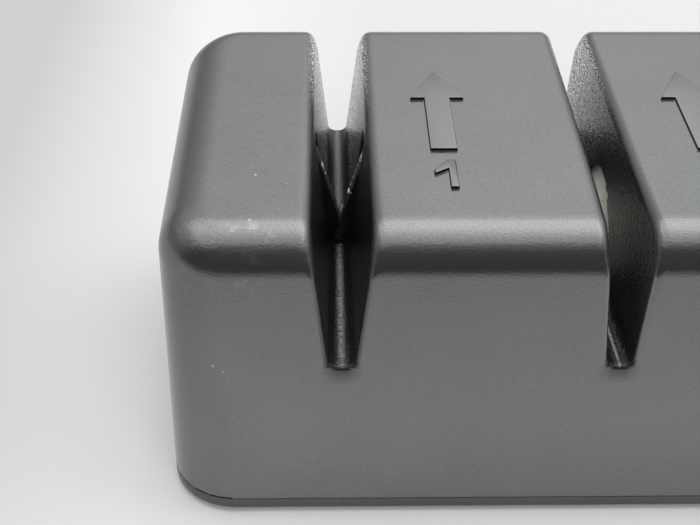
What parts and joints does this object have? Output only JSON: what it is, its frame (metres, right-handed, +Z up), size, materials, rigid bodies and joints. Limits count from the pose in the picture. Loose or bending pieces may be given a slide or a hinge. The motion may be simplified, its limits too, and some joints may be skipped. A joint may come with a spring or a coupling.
{
  "type": "manual knife sharpener",
  "caption": "Pull-through knife sharpener: a block with a slot over crossed carbide blades and a slot over a bevelled wheel pair that spins on its axle, blending into a lower rounded grip.",
  "frame": {"origin": "on the resting plane, under the middle of the bounding box", "axes": "+X along the length, from the slotted block to the grip; +Y the way the raised arrows point; +Z up"},
  "size_m": [0.19, 0.0548, 0.0375],
  "materials": {
    "housing_plastic": "fine-textured satin, dark grey",
    "cover_plastic": "satin, dark grey",
    "inner_plastic": "plain moulded, black",
    "hub_plastic": "plain moulded, mid grey",
    "foot_rubber": "matt, black",
    "steel": "turned, bright",
    "bronze": "sintered bronze, oiled",
    "carbide": "ground tungsten carbide, dark grey",
    "fine_ceramic": "fine, unglazed, white"
  },
  "bodies": {
    "sharpener_body": {"housing": "housing_plastic", "base_cover": "cover_plastic", "foot_left_front": "foot_rubber", "foot_left_back": "foot_rubber", "foot_right_front": "foot_rubber", "foot_right_back": "foot_rubber", "base_screw_left_front": "steel", "base_screw_left_back": "steel", "base_screw_middle_front": "steel", "base_screw_middle_back": "steel", "base_screw_grip_inner": "steel", "base_screw_grip_end": "steel", "coarse_holder": "inner_plastic", "coarse_clamp": "hub_plastic", "coarse_blade_left": "carbide", "coarse_blade_right": "carbide", "coarse_clamp_screw_left": "steel", "coarse_clamp_screw_right": "steel", "coarse_holder_screw_front": "steel", "coarse_holder_screw_back": "steel", "fine_cradle": "inner_plastic", "fine_bush_left": "bronze", "fine_bush_right": "bronze", "fine_cradle_screw_front": "steel", "fine_cradle_screw_back": "steel"},
    "fine_rotor": {"fine_axle": "steel", "fine_hub": "hub_plastic", "fine_wheel_left": "fine_ceramic", "fine_wheel_right": "fine_ceramic", "fine_washer_left": "steel", "fine_washer_right": "steel", "fine_clip_left": "steel", "fine_clip_right": "steel"}
  },
  "joints": [
    {"name": "fine_spin", "type": "hinge", "parent": "sharpener_body", "child": "fine_rotor", "pos_m": [-0.0454, 0, 0.0173], "axis": [1, 0, 0], "continuous": true}
  ]
}
